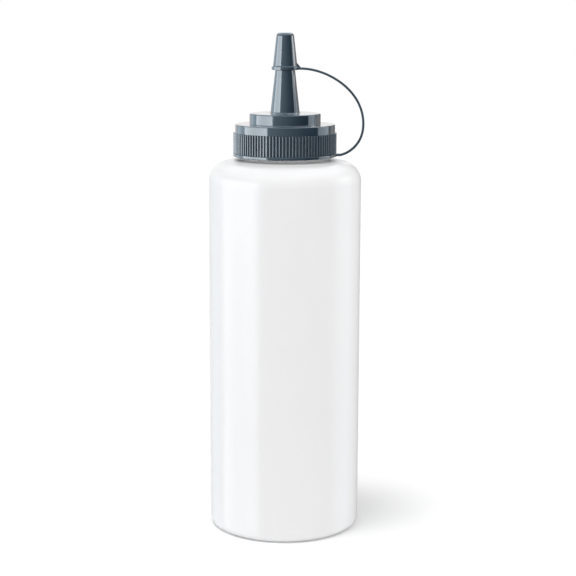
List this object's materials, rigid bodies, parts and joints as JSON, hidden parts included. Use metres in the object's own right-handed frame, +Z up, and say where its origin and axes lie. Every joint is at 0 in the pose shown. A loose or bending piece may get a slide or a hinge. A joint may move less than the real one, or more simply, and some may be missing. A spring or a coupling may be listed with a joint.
{
  "type": "squeeze bottle",
  "caption": "Cylindrical squeeze bottle of frosted plastic with a ribbed screw closure, a tapered nozzle and a tip cap held by a strap.",
  "frame": {"origin": "centre of the base, on the plane the bottle stands on", "axes": "+Z up along the bottle's axis, +X towards the side where the strap bulges out"},
  "size_m": [0.0815, 0.08, 0.2624],
  "materials": {
    "frosted_plastic": "natural translucent blow-moulded polyethylene, smooth with a soft sheen",
    "closure_plastic": "slate blue-grey moulded plastic, polished",
    "seal_foam": "off-white foamed sealing washer, matte"
  },
  "bodies": {
    "bottle_body": {"bottle": "frosted_plastic"},
    "seal_body": {"seal_ring": "seal_foam"},
    "closure_body": {"screw_cap": "closure_plastic", "tether_strap": "closure_plastic"},
    "tip_cap_body": {"tip_cap": "closure_plastic"}
  },
  "joints": [
    {"name": "closure_rise", "type": "slide", "parent": "bottle_body", "child": "seal_body", "axis": [0, 0, 1], "range_m": [0, 0.0053]},
    {"name": "closure_turn", "type": "hinge", "parent": "seal_body", "child": "closure_body", "pos_m": [0, 0, 0.2], "axis": [0, 0, 1], "range_deg": [0, 450]},
    {"name": "tip_cap_pull", "type": "slide", "parent": "closure_body", "child": "tip_cap_body", "axis": [0, 0, 1], "range_m": [0, 0.019], "deforming": ["tether_strap"]}
  ],
  "couplings": [
    {"joint": "closure_rise", "follows": "closure_turn", "m_per_rad": 0.00066845}
  ]
}
